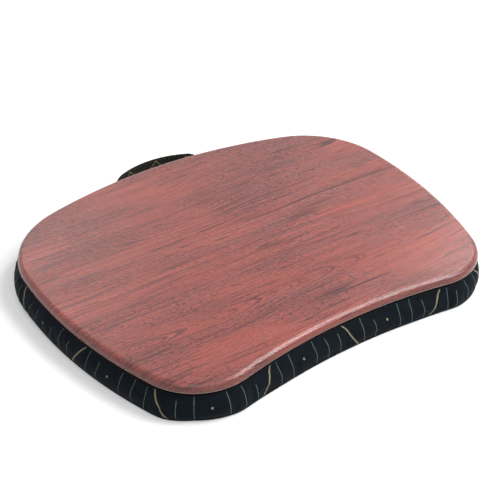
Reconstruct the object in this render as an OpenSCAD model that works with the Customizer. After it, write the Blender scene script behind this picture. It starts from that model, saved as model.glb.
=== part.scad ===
// Lap desk: a waisted woodgrain board on a thin fabric cushion, with a strap handle at the back.
// The table plane is z = 0, the user sits at -Y, and the origin is under the middle of the board.

/* [Board] */
// Width of the board over its bowed sides
board_w = 534; // [500:1:570]
// Depth of the board from its front corners to the middle of its back edge
board_d = 422; // [400:1:450]
// Thickness of the finished board
board_t = 10; // [8:0.5:16]
// How far the front edge curves in at the user's waist
waist_depth = 16; // [10:1:24]
// Radius of the front corners
front_corner_r = 76; // [60:1:84]
// Radius of the rear corners
rear_corner_r = 120; // [100:1:140]
// Radius of the bowed sides
side_r = 574; // [520:1:640]
// Radius of the bowed back edge
back_r = 603; // [540:1:680]
// How far behind the origin the board is at its widest
widest_y = 44; // [30:1:60]
// Radius of the round edge along the top of the board
edge_round = 4.5; // [3:0.5:6.5]
// Radius of the small round along the bottom of the board
arris_round = 1; // [0.5:0.1:1.4]
// Thickness of the woodgrain foil
foil_t = 0.5; // [0.4:0.1:0.8]
// Thickness of the paper on the underside
backing_t = 0.3; // [0.2:0.1:0.6]
// Thickness of the glue between foil and board
glue_t = 0.1; // [0.05:0.05:0.2]

/* [Cushion] */
// Height of the cushion from the table to its top panel
cushion_h = 29.6; // [26:0.2:32]
// How far the sides of the cushion bulge out beyond the board
side_bulge = 6.5; // [4:0.5:9]
// Radius of the bulged side, seen in section
side_round_r = 20; // [18:0.5:26]
// Height of the widest line of the bulge
bulge_z = 13.5; // [12:0.5:15]
// Thickness of the printed side band's cloth
band_t = 1; // [0.8:0.1:1.6]
// Thickness of the cloth panels above and below
panel_t = 0.8; // [0.6:0.1:1.2]
// How far the cut foam stays inside the board's outline
foam_inset = 10; // [8:1:20]
// Gap around the foam and the wadding
wadding_gap = 0.2; // [0.1:0.05:0.4]

/* [Fastening tape] */
// Width of the hook and loop tape
tape_w = 25; // [16:1:38]
// Length of the tapes that run from left to right
long_tape_len = 160; // [100:5:220]
// Length of the tapes that run from front to back
side_tape_len = 110; // [60:5:140]
// How far behind the origin the rear tape lies
rear_tape_y = 150; // [120:5:165]
// How far in front of the origin the front tape lies
front_tape_y = 150; // [110:5:160]
// How far out from the middle the side tapes lie
side_tape_x = 205; // [160:5:215]
// Thickness of the hook tape
hook_t = 1.4; // [1:0.1:2]
// Thickness of the loop tape
loop_t = 1; // [0.8:0.1:1.6]
// Radius of the tape corners
tape_corner_r = 3; // [1:0.5:6]

/* [Handle] */
// Distance between the two sewn ends of the grip
grip_span = 150; // [120:2:180]
// How far the middle of the grip bows out from its ends
grip_bow = 27.5; // [25:0.5:36]
// Height of the strap, which stands on edge
strap_h = 25; // [20:0.5:26]
// Height of the middle of the strap above the table
strap_z = 15; // [14:0.5:17]
// Thickness of the sewn strap
strap_t = 3.2; // [2.8:0.2:4.4]
// Thickness of the sleeve's cloth
sleeve_t = 0.7; // [0.5:0.1:0.9]
// Gap between the sleeve and the webbing inside it
webbing_gap = 0.15; // [0.1:0.05:0.25]
// Radius of the pinched ends of the strap
end_round = 3; // [2.4:0.2:4]
// Distance over which the strap opens out to its full height
flare_len = 6; // [5:0.5:9]
// How far the solid stitched end of the sleeve runs in from the pinch
sewn_end_len = 12; // [9:1:18]
// Gap between the strap's end and the tab that holds it
hinge_gap = 0.3; // [0.2:0.1:0.6]

/* [Handle tabs] */
// Length of each tab along the back of the cushion
tab_len = 26; // [18:1:34]
// Height of each tab
tab_h = 20; // [14:1:24]
// Thickness of each tab
tab_t = 1.8; // [1.4:0.1:2.4]
// Gap between a tab and the bulged band
tab_gap = 0.3; // [0.2:0.05:0.5]
// Height of each row of stitches across a tab
tack_h = 15; // [10:1:18]
// Width of each row of stitches
tack_w = 2; // [1.4:0.2:3]
// How far the stitches stand out from a tab
tack_t = 0.6; // [0.4:0.1:1]
// Distance from a tab's end to the middle of its stitches
tack_inset = 4; // [3:0.5:7]

/* [Hidden] */
$fn = 96;

// Straight steps along the arcs of the outline, and along its sections
corner_steps = 13;
side_steps = 10;
long_steps = 14;
edge_steps = 5;
bulge_steps = 8;

// Heights of the layers above the table
board_z = cushion_h + loop_t + hook_t;
board_top = board_z + board_t;
cushion_top = cushion_h - panel_t;

// Where two circles cross, on the side that lies to the right of the way from the first to the second
function cross_point(p, rp, q, rq) =
    let (d = norm(q - p), u = (q - p) / d, along = (rp * rp - rq * rq + d * d) / (2 * d),
         off = sqrt(rp * rp - along * along))
    p + along * u + off * [u.y, -u.x];
function angle_of(v) = atan2(v.y, v.x);
function on_arc(c, r, a) = c + r * [cos(a), sin(a)];

// The board's outline is a chain of tangent arcs: waist, front corner, side, rear corner, back
side_c = [board_w / 2 - side_r, widest_y];
front_y = front_corner_r - board_d / 2;
front_c = [side_c.x + sqrt(pow(side_r - front_corner_r, 2) - pow(front_y - side_c.y, 2)), front_y];
back_c = [0, board_d / 2 - back_r];
rear_c = cross_point(back_c, back_r - rear_corner_r, side_c, side_r - rear_corner_r);
waist_y = waist_depth - board_d / 2;
waist_rise = front_c.y - waist_y;
waist_r = (pow(front_c.x, 2) + pow(waist_rise, 2) - pow(front_corner_r, 2))
        / (2 * (front_corner_r - waist_rise));
waist_c = [0, waist_y - waist_r];

// Directions in which neighbouring arcs meet
waist_end = angle_of(front_c - waist_c);
front_start = waist_end - 180;
front_end = angle_of(front_c - side_c);
side_end = angle_of(rear_c - side_c);
rear_end = angle_of(rear_c - back_c);

// Directions between two angles, in equal steps, without the last one
function directions(a0, a1, steps) = [for (i = [0:steps - 1]) a0 + (a1 - a0) * i / steps];

// The right-hand half of the outline, moved outwards by d, from the waist to the back
function right_half(d) = [
    for (a = directions(front_start, front_end, corner_steps)) on_arc(front_c, front_corner_r + d, a),
    for (a = directions(front_end, side_end, side_steps)) on_arc(side_c, side_r + d, a),
    for (a = directions(side_end, rear_end, corner_steps)) on_arc(rear_c, rear_corner_r + d, a),
    on_arc(rear_c, rear_corner_r + d, rear_end)];

// The whole outline, moved outwards by d
function ring(d) =
    let (half = right_half(d),
         back = directions(rear_end, 180 - rear_end, long_steps),
         waist = directions(180 - waist_end, waist_end, long_steps))
    [for (p = half) p,
     for (i = [1:long_steps - 1]) on_arc(back_c, back_r + d, back[i]),
     for (i = [len(half) - 1:-1:0]) [-half[i].x, half[i].y],
     for (i = [1:long_steps - 1]) on_arc(waist_c, waist_r - d, waist[i])];

// Places on the handle
tab_face_r = side_round_r + tab_gap + tab_t;
function side_reach(r, z) = side_bulge - side_round_r + sqrt(r * r - pow(z - bulge_z, 2));
hinge_y = back_c.y + sqrt(pow(back_r + side_reach(tab_face_r, bulge_z), 2) - pow(grip_span / 2, 2))
        + hinge_gap + end_round;
grip_r = (pow(grip_span / 2, 2) + grip_bow * grip_bow) / (2 * grip_bow);
grip_c = [0, hinge_y + grip_bow - grip_r];
tab_a0 = acos((grip_span / 2) / (back_r + side_bulge));
tab_sweep = tab_len / (back_r + side_bulge) * 180 / PI;

// A flat sheet of the outline's shape, moved outwards by d
module sheet(z, thickness, d) {
    translate([0, 0, z]) linear_extrude(thickness) polygon(ring(d));
}

// A section's points are [distance beyond the outline, height], and each makes one ring of the sweep.
// A closed section makes a band. An open one makes a solid, capped by triangles about its middle.
module sweep(section, closed) {
    rings = [for (s = section) ring(s[0])];
    rows = len(section);
    n = len(rings[0]);
    points = [for (i = [0:rows - 1], p = rings[i]) [p.x, p.y, section[i][1]],
              [0, 0, section[0][1]],
              [0, 0, section[rows - 1][1]]];
    sides = [for (i = [0:rows - (closed ? 1 : 2)], j = [0:n - 1], half = [0, 1])
        let (a = i * n + j, b = i * n + (j + 1) % n, up = (i + 1) % rows * n - i * n)
        half == 0 ? [a, a + up, b + up] : [a, b + up, b]];
    caps = closed ? [] : [for (j = [0:n - 1], end = [0, 1])
        let (a = end * (rows - 1) * n + j, b = end * (rows - 1) * n + (j + 1) % n)
        end == 0 ? [rows * n, a, b] : [rows * n + 1, b, a]];
    polyhedron(closed ? [for (i = [0:rows * n - 1]) points[i]] : points, concat(sides, caps));
}

// A quarter round of a section about c, from direction a0 to a1
function section_round(c, r, a0, a1, steps) =
    [for (i = [0:steps]) c + r * [cos(a0 + (a1 - a0) * i / steps), sin(a0 + (a1 - a0) * i / steps)]];

module board_core() {
    face = -foil_t - glue_t;
    top = board_top - foil_t - glue_t;
    core_round = edge_round - foil_t - glue_t;
    color("burlywood") sweep(concat([[face, board_z + backing_t]],
        section_round([face - core_round, top - core_round], core_round, 0, 90, edge_steps)), false);
}

module woodgrain_foil() {
    centre = [-edge_round, board_top - edge_round];
    color("indianred") sweep(concat(
        section_round(centre, edge_round - foil_t, 90, 0, edge_steps),
        [[-foil_t, board_z]],
        section_round([-arris_round, board_z + arris_round], arris_round, -90, 0, 2),
        section_round(centre, edge_round, 0, 90, edge_steps)), false);
}

module board_backing() {
    color("wheat") sheet(board_z, backing_t, -foil_t - glue_t - arris_round);
}

// A flat tape with round corners, centred on its place
module tape(len_x, len_y, thickness) {
    linear_extrude(thickness) {
        square([len_x, len_y - 2 * tape_corner_r], center = true);
        square([len_x - 2 * tape_corner_r, len_y], center = true);
        for (x = [-1, 1], y = [-1, 1]) {
            translate([x * (len_x / 2 - tape_corner_r), y * (len_y / 2 - tape_corner_r)])
                circle(tape_corner_r);
        }
    }
}

module tape_set(z, thickness) {
    translate([0, rear_tape_y, z]) tape(long_tape_len, tape_w, thickness);
    translate([0, -front_tape_y, z]) tape(long_tape_len, tape_w, thickness);
    for (x = [-side_tape_x, side_tape_x]) {
        translate([x, 0, z]) tape(tape_w, side_tape_len, thickness);
    }
}

module hook_tapes() { color("dimgray") tape_set(cushion_h + loop_t, hook_t); }
module loop_tapes() { color("gray") tape_set(cushion_h, loop_t); }

// Section of a band that follows the bulged side, from radius r0 to r1
module bulge_section(r0, r1, z0, z1) {
    intersection() {
        translate([side_bulge - side_round_r, bulge_z]) difference() {
            circle(r1, $fn = 120);
            circle(r0, $fn = 120);
        }
        translate([side_bulge - side_round_r, z0]) square([2 * side_round_r, z1 - z0]);
    }
}

// The same bulge as points, from height z0 to z1
function bulge_points(r, z0, z1, steps) =
    [for (i = [0:steps]) let (z = z0 + (z1 - z0) * i / steps) [side_reach(r, z), z]];

module cushion_side_band() {
    color("midnightblue") sweep(concat(
        bulge_points(side_round_r, panel_t, cushion_top, bulge_steps),
        bulge_points(side_round_r - band_t, cushion_top, panel_t, bulge_steps)), true);
}

// Wadding fills the bulge between the straight-cut foam and the side band
module cushion_wadding() {
    inner = wadding_gap - foam_inset;
    color("whitesmoke") sweep(concat(
        bulge_points(side_round_r - band_t - wadding_gap, panel_t, cushion_top, bulge_steps),
        [[inner, cushion_top], [inner, panel_t]]), true);
}

module cushion_foam() {
    color("lightyellow") sheet(panel_t, cushion_top - panel_t, -foam_inset);
}

module cushion_base_panel() {
    color("black") sheet(0, panel_t, side_reach(side_round_r, panel_t));
}

module cushion_top_panel() {
    color("black") sheet(cushion_top, panel_t, side_reach(side_round_r, cushion_top));
}

// A patch on the bulged back, from radius r0 to r1, centred on the handle's height
module back_patch(a0, sweep, height, r0, r1) {
    translate([back_c.x, back_c.y, 0]) rotate([0, 0, a0 - sweep])
        rotate_extrude(angle = sweep, $fn = 180) translate([back_r, 0])
            bulge_section(r0, r1, strap_z - height / 2, strap_z + height / 2);
}

module handle_tab() {
    color("black") back_patch(tab_a0, tab_sweep, tab_h, side_round_r + tab_gap, tab_face_r);
}

module handle_tab_right() { handle_tab(); }
module handle_tab_left() { mirror([1, 0, 0]) handle_tab(); }

module handle_stitches() {
    tack_sweep = tack_w / (back_r + side_bulge) * 180 / PI;
    first = tack_inset / tab_len * tab_sweep - tack_sweep / 2;
    last = tab_sweep - first - tack_sweep;
    color("black") for (side = [0, 1], turn = [first, last]) {
        mirror([side, 0, 0])
            back_patch(tab_a0 - turn, tack_sweep, tack_h, tab_face_r, tab_face_r + tack_t);
    }
}

// A bowed strip on edge, as thick and as high as given, centred on the strap
module bow(thickness, height) {
    translate([grip_c.x, grip_c.y, strap_z - height / 2])
        rotate_extrude(angle = 180, $fn = 180)
            translate([grip_r - thickness / 2, 0]) square([thickness, height]);
}

// What lies between two distances behind the hinge line, and no higher than a half height
module reach_block(from, to, half_h) {
    translate([-grip_span, hinge_y + from, strap_z - half_h])
        cube([2 * grip_span, to - from, 2 * half_h]);
}

// Side view of the strap: a round pinched end that opens out to the full height
module strap_side_view() {
    rotate([90, 0, 90]) linear_extrude(2 * grip_span, center = true)
        translate([hinge_y, strap_z]) {
            circle(end_round);
            polygon([[0, -end_round], [flare_len, -strap_h / 2], [2 * grip_bow, -strap_h / 2],
                     [2 * grip_bow, strap_h / 2], [flare_len, strap_h / 2], [0, end_round]]);
        }
}

module handle_sleeve() {
    color("black") difference() {
        intersection() {
            bow(strap_t, strap_h);
            strap_side_view();
        }
        intersection() {
            bow(strap_t - 2 * sleeve_t, strap_h - 2 * sleeve_t);
            reach_block(sewn_end_len, 2 * grip_bow, strap_h / 2);
        }
    }
}

module handle_webbing() {
    wall = sleeve_t + webbing_gap;
    color("dimgray") intersection() {
        bow(strap_t - 2 * wall, strap_h - 2 * wall);
        reach_block(sewn_end_len + webbing_gap, 2 * grip_bow, strap_h / 2);
    }
}

board_core();
woodgrain_foil();
board_backing();
hook_tapes();
loop_tapes();
cushion_top_panel();
cushion_side_band();
cushion_wadding();
cushion_foam();
cushion_base_panel();
handle_tab_left();
handle_tab_right();
handle_stitches();
handle_sleeve();
handle_webbing();
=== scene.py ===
import math

import bmesh
import bpy
import numpy as np
from mathutils import Matrix, Vector


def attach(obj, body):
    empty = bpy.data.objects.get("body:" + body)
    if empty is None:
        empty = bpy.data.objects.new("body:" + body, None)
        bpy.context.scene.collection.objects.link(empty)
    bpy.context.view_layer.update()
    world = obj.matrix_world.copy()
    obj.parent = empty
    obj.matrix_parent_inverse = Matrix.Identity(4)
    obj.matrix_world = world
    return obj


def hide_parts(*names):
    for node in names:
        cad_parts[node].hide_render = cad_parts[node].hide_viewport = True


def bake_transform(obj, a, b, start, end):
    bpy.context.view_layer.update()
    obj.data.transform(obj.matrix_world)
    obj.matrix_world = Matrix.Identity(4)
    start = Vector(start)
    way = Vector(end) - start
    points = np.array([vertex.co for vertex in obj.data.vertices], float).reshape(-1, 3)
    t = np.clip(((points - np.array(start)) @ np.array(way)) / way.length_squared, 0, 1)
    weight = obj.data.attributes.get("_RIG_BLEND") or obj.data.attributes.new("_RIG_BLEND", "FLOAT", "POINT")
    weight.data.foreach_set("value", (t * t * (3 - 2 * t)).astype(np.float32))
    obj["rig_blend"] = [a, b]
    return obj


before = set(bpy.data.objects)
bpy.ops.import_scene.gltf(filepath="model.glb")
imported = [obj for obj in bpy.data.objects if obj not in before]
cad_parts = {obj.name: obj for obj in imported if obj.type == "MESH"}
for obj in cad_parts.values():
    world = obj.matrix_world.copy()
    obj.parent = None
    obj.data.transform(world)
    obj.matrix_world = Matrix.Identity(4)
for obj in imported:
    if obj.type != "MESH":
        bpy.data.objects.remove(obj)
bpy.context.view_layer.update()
scene = bpy.context.scene
print("frame loaded")

# The board's outline, in metres: a chain of tangent arcs, as the part's source has it
outline = {
    "width": 0.534,
    "depth": 0.422,
    "waistDepth": 0.016,
    "frontCornerR": 0.076,
    "rearCornerR": 0.120,
    "sideR": 0.574,
    "backR": 0.603,
    "widestY": 0.044,
}


# An sRGB hex colour, as a linear one
def linearColour(hexText):
    channels = [int(hexText[i:i + 2], 16) / 255 for i in (1, 3, 5)]
    linear = [c / 12.92 if c <= 0.04045 else ((c + 0.055) / 1.055) ** 2.4 for c in channels]
    return (*linear, 1.0)


def newMaterial(name):
    material = bpy.data.materials.new(name)
    material.use_nodes = True
    material.node_tree.nodes.clear()
    return material, material.node_tree


# Keys that are an input's name or number set that input, and the others set the node itself
def addNode(tree, kind, settings=None, links=None):
    node = tree.nodes.new(kind)
    for key, value in (settings or {}).items():
        if not isinstance(key, int) and key not in node.inputs:
            setattr(node, key, value)
    for key, value in (settings or {}).items():
        if isinstance(key, int) or key in node.inputs:
            node.inputs[key].default_value = value
    for key, source in (links or {}).items():
        socket = source.outputs[0] if isinstance(source, bpy.types.Node) else source
        tree.links.new(socket, node.inputs[key])
    return node


# Noise stretched to a grain, by how many of its cells fit in a metre each way
def stretchedNoise(tree, place, perMetre, detail, roughness=0.5):
    stretched = addNode(tree, "ShaderNodeMapping", {"Scale": (*perMetre, 1.0)}, {"Vector": place})
    return addNode(tree, "ShaderNodeTexNoise",
                   {"noise_dimensions": "2D", "Scale": 1.0, "Detail": detail, "Roughness": roughness},
                   {"Vector": stretched})


# A thin line where a value comes near the middle one: full within inner of it, and gone past outer
def thinLine(tree, value, middle, inner, outer, most=1.0):
    side = addNode(tree, "ShaderNodeMath", {"operation": "SUBTRACT", 1: middle}, {0: value})
    off = addNode(tree, "ShaderNodeMath", {"operation": "ABSOLUTE"}, {0: side})
    return addNode(tree, "ShaderNodeMapRange",
                   {"interpolation_type": "SMOOTHSTEP", "From Min": outer, "From Max": inner, "To Max": most},
                   {"Value": off})


def finishPiece(bm, name, materials):
    mesh = bpy.data.meshes.new(name)
    bm.to_mesh(mesh)
    bm.free()
    mesh.shade_smooth()
    piece = bpy.data.objects.new(name, mesh)
    scene.collection.objects.link(piece)
    for material in materials:
        mesh.materials.append(material)
    return piece


# 0 below low, 1 above high, and an even curve between them
def smoothShare(value, low, high):
    t = min(1, max(0, (value - low) / (high - low)))
    return t * t * (3 - 2 * t)


# The camera, where the photo's stood
cameraSetup = {
    "lens": 68.6,  # mm
    "sensor": 36,  # mm
    "nearest": 0.05,
    "target": (0.0153, 0.01665, 0.0),
    "azimuth": -34.24,
    "elevation": 35.29,
    "distance": 1.2285,
}


def makeCamera():
    azimuth = math.radians(cameraSetup["azimuth"])
    elevation = math.radians(cameraSetup["elevation"])
    back = Vector((math.sin(azimuth) * math.cos(elevation),
                   -math.cos(azimuth) * math.cos(elevation),
                   math.sin(elevation)))
    data = bpy.data.cameras.new("camera")
    data.lens = cameraSetup["lens"]
    data.sensor_width = cameraSetup["sensor"]
    data.clip_start = cameraSetup["nearest"]
    camera = bpy.data.objects.new("camera", data)
    scene.collection.objects.link(camera)
    camera.location = Vector(cameraSetup["target"]) + back * cameraSetup["distance"]
    camera.rotation_mode = "QUATERNION"
    camera.rotation_quaternion = (-back).to_track_quat("-Z", "Y")
    scene.camera = camera


makeCamera()
print("camera placed")


def directionOf(vector):
    return math.atan2(vector.y, vector.x)


# Each arc is its centre, radius, first direction and turn. They start at the waist's right end
def outlineArcs():
    corner, rear = outline["frontCornerR"], outline["rearCornerR"]
    sideR, backR = outline["sideR"], outline["backR"]
    halfDepth = outline["depth"] / 2
    side = Vector((outline["width"] / 2 - sideR, outline["widestY"]))
    frontY = corner - halfDepth
    front = Vector((side.x + math.sqrt((sideR - corner) ** 2 - (frontY - side.y) ** 2), frontY))
    back = Vector((0, halfDepth - backR))
    reach = (side - back).length
    towards = (side - back) / reach
    share = ((backR - rear) ** 2 - (sideR - rear) ** 2 + reach ** 2) / (2 * reach)
    off = math.sqrt((backR - rear) ** 2 - share ** 2)
    rearC = back + towards * share + Vector((towards.y, -towards.x)) * off
    waistY = outline["waistDepth"] - halfDepth
    rise = front.y - waistY
    waistR = (front.x ** 2 + rise ** 2 - corner ** 2) / (2 * (corner - rise))
    waist = Vector((0, waistY - waistR))
    waistEnd = directionOf(front - waist)
    frontEnd = directionOf(front - side)
    sideEnd = directionOf(rearC - side)
    rearEnd = directionOf(rearC - back)
    right = [(front, corner, waistEnd - math.pi, frontEnd - waistEnd + math.pi),
             (side, sideR, frontEnd, sideEnd - frontEnd),
             (rearC, rear, sideEnd, rearEnd - sideEnd)]
    left = [(Vector((-centre.x, centre.y)), radius, math.pi - start - turn, turn)
            for centre, radius, start, turn in reversed(right)]
    return [*right, (back, backR, rearEnd, math.pi - 2 * rearEnd), *left,
            (waist, waistR, math.pi - waistEnd, 2 * waistEnd - math.pi)]


# A closed ring of vertices spun round the arcs, and what each vertex knows of its place on the outline
def outlineRing(bm, step):
    home = bm.verts.layers.float_vector.new("home")
    outward = bm.verts.layers.float_vector.new("outward")
    along = bm.verts.layers.float.new("along")
    arcs = outlineArcs()
    centre, radius, start, turn = arcs[0]
    first = last = bm.verts.new((centre.x + radius * math.cos(start),
                                 centre.y + radius * math.sin(start), 0))
    for centre, radius, start, turn in arcs:
        steps = max(2, round(abs(turn) * radius / step))
        last = bmesh.ops.spin(bm, geom=[last], cent=(centre.x, centre.y, 0), axis=(0, 0, 1),
                              angle=turn, steps=steps, use_duplicate=False)["geom_last"][0]
    ring = list(bm.verts)
    bmesh.ops.weld_verts(bm, targetmap={ring.pop(): first})
    length = 0.0
    for i, vertex in enumerate(ring):
        ahead, behind = ring[(i + 1) % len(ring)], ring[i - 1]
        way = (ahead.co - behind.co).normalized()
        vertex[home] = vertex.co
        vertex[outward] = Vector((way.y, -way.x, 0))
        vertex[along] = length
        length += (ahead.co - vertex.co).length
    return ring, length


# The ring's edges are drawn out to a new row, grown outwards and lifted to a height
def nextRow(bm, edges, grow, height):
    home = bm.verts.layers.float_vector["home"]
    outward = bm.verts.layers.float_vector["outward"]
    made = bmesh.ops.extrude_edge_only(bm, edges=edges)["geom"]
    row = [v for v in made if isinstance(v, bmesh.types.BMVert)]
    for vertex in row:
        vertex.co = vertex[home] + vertex[outward] * grow + Vector((0, 0, height))
    inRow = set(row)
    return row, [e for e in made if isinstance(e, bmesh.types.BMEdge)
                 and e.verts[0] in inRow and e.verts[1] in inRow]


print("outline ready")


# The foil's colours, and how much each part of its grain counts
foil = {
    "pale": "#af5246",
    "middle": "#99473a",
    "deep": "#783837",
    "pore": "#34151a",
    # painted shade of the board's edge round and walls
    "edgeShadeBrown": "#6a2c1e",
    # painted highlight on the board's lower edge and underside
    "lowerHighlightPale": "#d8bdb2",
    # how many cells of each field fit in a metre, along the grain and across it
    "wanderCells": (3.2, 9.0),
    "streakCells": (6.0, 240.0),
    "lineCells": (4.5, 170.0),
    "dashCells": (170.0, 900.0),
    "cloudCells": (5.0, 17.0),
    "ringCells": 150.0,
    "lateCells": 330.0,
    "speckleCells": 760.0,
    "stray": 0.026,  # how far the grain wanders sideways, in metres
    "heart": (0.030, 0.118, 0),  # moves the plank's heart off the board's middle
    "ringSquash": 0.062,  # makes the rings 16 times as long as they are wide
    "ringShare": 0.20,
    "streakShare": 0.20,
    "cloudShare": 0.32,
    "speckleShare": 0.80,
    "tonesFrom": 0.65,
    "tonesMiddle": 0.76,
    "tonesTo": 0.87,
    "poreShare": 0.88,
    "edgeShadeShare": 0.35,  # how much painted shade browns the edge round and the walls
    "embossDepth": 0.00014,
    "smooth": 0.22,
    "rough": 0.32,
    "ior": 1.54,
}


# PVC foil, printed and embossed with a cherry grain and pressed over the board: fine streaks, a satin
# shine and shallow pores
def foilMaterial():
    material, tree = newMaterial("foilPrintedCherry")
    place = addNode(tree, "ShaderNodeUVMap", {"uv_map": "foil"})
    drift = stretchedNoise(tree, place, foil["wanderCells"], 2.0)
    centred = addNode(tree, "ShaderNodeMath", {"operation": "SUBTRACT", 1: 0.5}, {0: drift})
    shift = addNode(tree, "ShaderNodeMath", {"operation": "MULTIPLY", 1: foil["stray"]}, {0: centred})
    offset = addNode(tree, "ShaderNodeCombineXYZ", {}, {"Y": shift})
    warped = addNode(tree, "ShaderNodeVectorMath", {"operation": "ADD"}, {0: place, 1: offset})

    # growth rings of a plank cut close to the heart
    heart = addNode(tree, "ShaderNodeMapping",
                    {"Location": foil["heart"], "Scale": (foil["ringSquash"], 1.0, 1.0)}, {"Vector": warped})
    ringR = addNode(tree, "ShaderNodeVectorMath", {"operation": "LENGTH"}, {0: heart})
    rings = addNode(tree, "ShaderNodeTexNoise",
                    {"noise_dimensions": "1D", "Scale": foil["ringCells"], "Detail": 4.0, "Roughness": 0.62},
                    {"W": ringR.outputs["Value"]})

    # broad streaks are 4 mm wide and 170 mm long, with finer ones in them. The fine field is 6 by 220 mm,
    # and thin lines are drawn from it. Dashes are 1.1 by 6 mm: real pores are finer, and wouldn't show
    broad = stretchedNoise(tree, warped, foil["streakCells"], 3.0, 0.6)
    fine = stretchedNoise(tree, warped, foil["lineCells"], 1.0, 0.4)
    dash = stretchedNoise(tree, warped, foil["dashCells"], 1.0)
    cloud = stretchedNoise(tree, place, foil["cloudCells"], 2.0)

    speckle = addNode(tree, "ShaderNodeTexNoise",
                      {"noise_dimensions": "2D", "Scale": foil["speckleCells"], "Detail": 2.0},
                      {"Vector": place})
    tone = addNode(tree, "ShaderNodeMath", {"operation": "MULTIPLY", 1: foil["ringShare"]}, {0: rings})
    for share, field in ((foil["streakShare"], broad), (foil["cloudShare"], cloud),
                         (foil["speckleShare"], speckle)):
        tone = addNode(tree, "ShaderNodeMath", {"operation": "MULTIPLY_ADD", 1: share}, {0: field, 2: tone})
    ramp = addNode(tree, "ShaderNodeValToRGB", {}, {"Fac": tone})
    ramp.color_ramp.elements[0].position = foil["tonesFrom"]
    ramp.color_ramp.elements[0].color = linearColour(foil["deep"])
    ramp.color_ramp.elements[1].position = foil["tonesTo"]
    ramp.color_ramp.elements[1].color = linearColour(foil["pale"])
    ramp.color_ramp.elements.new(foil["tonesMiddle"]).color = linearColour(foil["middle"])

    # pores lie in thin lines and in dashes, and lines of late wood follow the rings
    fineLines = thinLine(tree, fine, 0.5, 0.022, 0.048)
    strength = addNode(tree, "ShaderNodeMapRange", {"From Min": 0.40, "From Max": 0.60, "To Min": 0.15},
                       {"Value": broad})
    poreLines = addNode(tree, "ShaderNodeMath", {"operation": "MULTIPLY"}, {0: fineLines, 1: strength})
    dusty = addNode(tree, "ShaderNodeMapRange",
                    {"From Min": 0.42, "From Max": 0.62, "To Min": 1.0, "To Max": 0.4}, {"Value": cloud})
    specks = addNode(tree, "ShaderNodeMapRange",
                     {"interpolation_type": "SMOOTHSTEP", "From Min": 0.50, "From Max": 0.66},
                     {"Value": dash})
    dashes = addNode(tree, "ShaderNodeMath", {"operation": "MULTIPLY"}, {0: specks, 1: dusty})
    broken = addNode(tree, "ShaderNodeMath", {"operation": "MAXIMUM"}, {0: poreLines, 1: dashes})
    late = addNode(tree, "ShaderNodeTexNoise",
                   {"noise_dimensions": "1D", "Scale": foil["lateCells"], "Detail": 2.0, "Roughness": 0.6},
                   {"W": ringR.outputs["Value"]})
    lateLines = thinLine(tree, late, 0.55, 0.012, 0.034, 0.8)
    pores = addNode(tree, "ShaderNodeMath", {"operation": "MAXIMUM"}, {0: broken, 1: lateLines})
    poreShare = addNode(tree, "ShaderNodeMath", {"operation": "MULTIPLY", 1: foil["poreShare"]}, {0: pores})
    grained = addNode(tree, "ShaderNodeMix", {"data_type": "RGBA", 7: linearColour(foil["pore"])},
                      {0: poreShare, 6: ramp})

    # painted shade: the print is browner where the surface turns from the top, on the edge round and the
    # walls; and painted highlight: faces turned downward are pale
    normal = addNode(tree, "ShaderNodeNewGeometry")
    split = addNode(tree, "ShaderNodeSeparateXYZ", {}, {"Vector": normal.outputs["Normal"]})
    rim = addNode(tree, "ShaderNodeMapRange",
                  {"interpolation_type": "SMOOTHSTEP", "From Min": 0.97, "From Max": 0.35,
                   "To Max": foil["edgeShadeShare"]}, {"Value": split.outputs["Z"]})
    shadedGrain = addNode(tree, "ShaderNodeMix", {"data_type": "RGBA", 7: linearColour(foil["edgeShadeBrown"])},
                      {0: rim, 6: grained.outputs[2]})
    # painted highlight: faces turned downward, the lower edge round and the underside, are made pale
    lowerHighlight = addNode(tree, "ShaderNodeMapRange",
                  {"interpolation_type": "SMOOTHSTEP", "From Min": -0.02, "From Max": -0.25, "To Max": 0.8},
                  {"Value": split.outputs["Z"]})
    coloured = addNode(tree, "ShaderNodeMix", {"data_type": "RGBA", 7: linearColour(foil["lowerHighlightPale"])},
                       {0: lowerHighlight, 6: shadedGrain.outputs[2]})

    height = addNode(tree, "ShaderNodeMath", {"operation": "MULTIPLY_ADD", 1: -0.7}, {0: pores, 2: speckle})
    bump = addNode(tree, "ShaderNodeBump", {"Strength": 0.7, "Distance": foil["embossDepth"]},
                   {"Height": height})
    matt = addNode(tree, "ShaderNodeMapRange", {"To Min": foil["smooth"], "To Max": foil["rough"]},
                   {"Value": broad})

    # the pressed edge shines a little more than the flat top
    roughness = addNode(tree, "ShaderNodeMath", {"operation": "MULTIPLY_ADD", 1: -0.35}, {0: rim, 2: matt})
    shader = addNode(tree, "ShaderNodeBsdfPrincipled", {"IOR": foil["ior"]},
                     {"Base Color": coloured.outputs[2], "Roughness": roughness, "Normal": bump})
    addNode(tree, "ShaderNodeOutputMaterial", {}, {"Surface": shader})
    return material


# The board with its foil, in metres
board = {
    "low": 0.032,
    "thickness": 0.010,
    "topRound": 0.0075,
    "bottomRound": 0.001,
    "step": 0.0022,
    "roundSegments": 10,
    "bottomSegments": 3,
    "topInset": 0.0012,
    "underInset": 0.0008,
    "underDepth": -0.0005,
}


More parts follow.
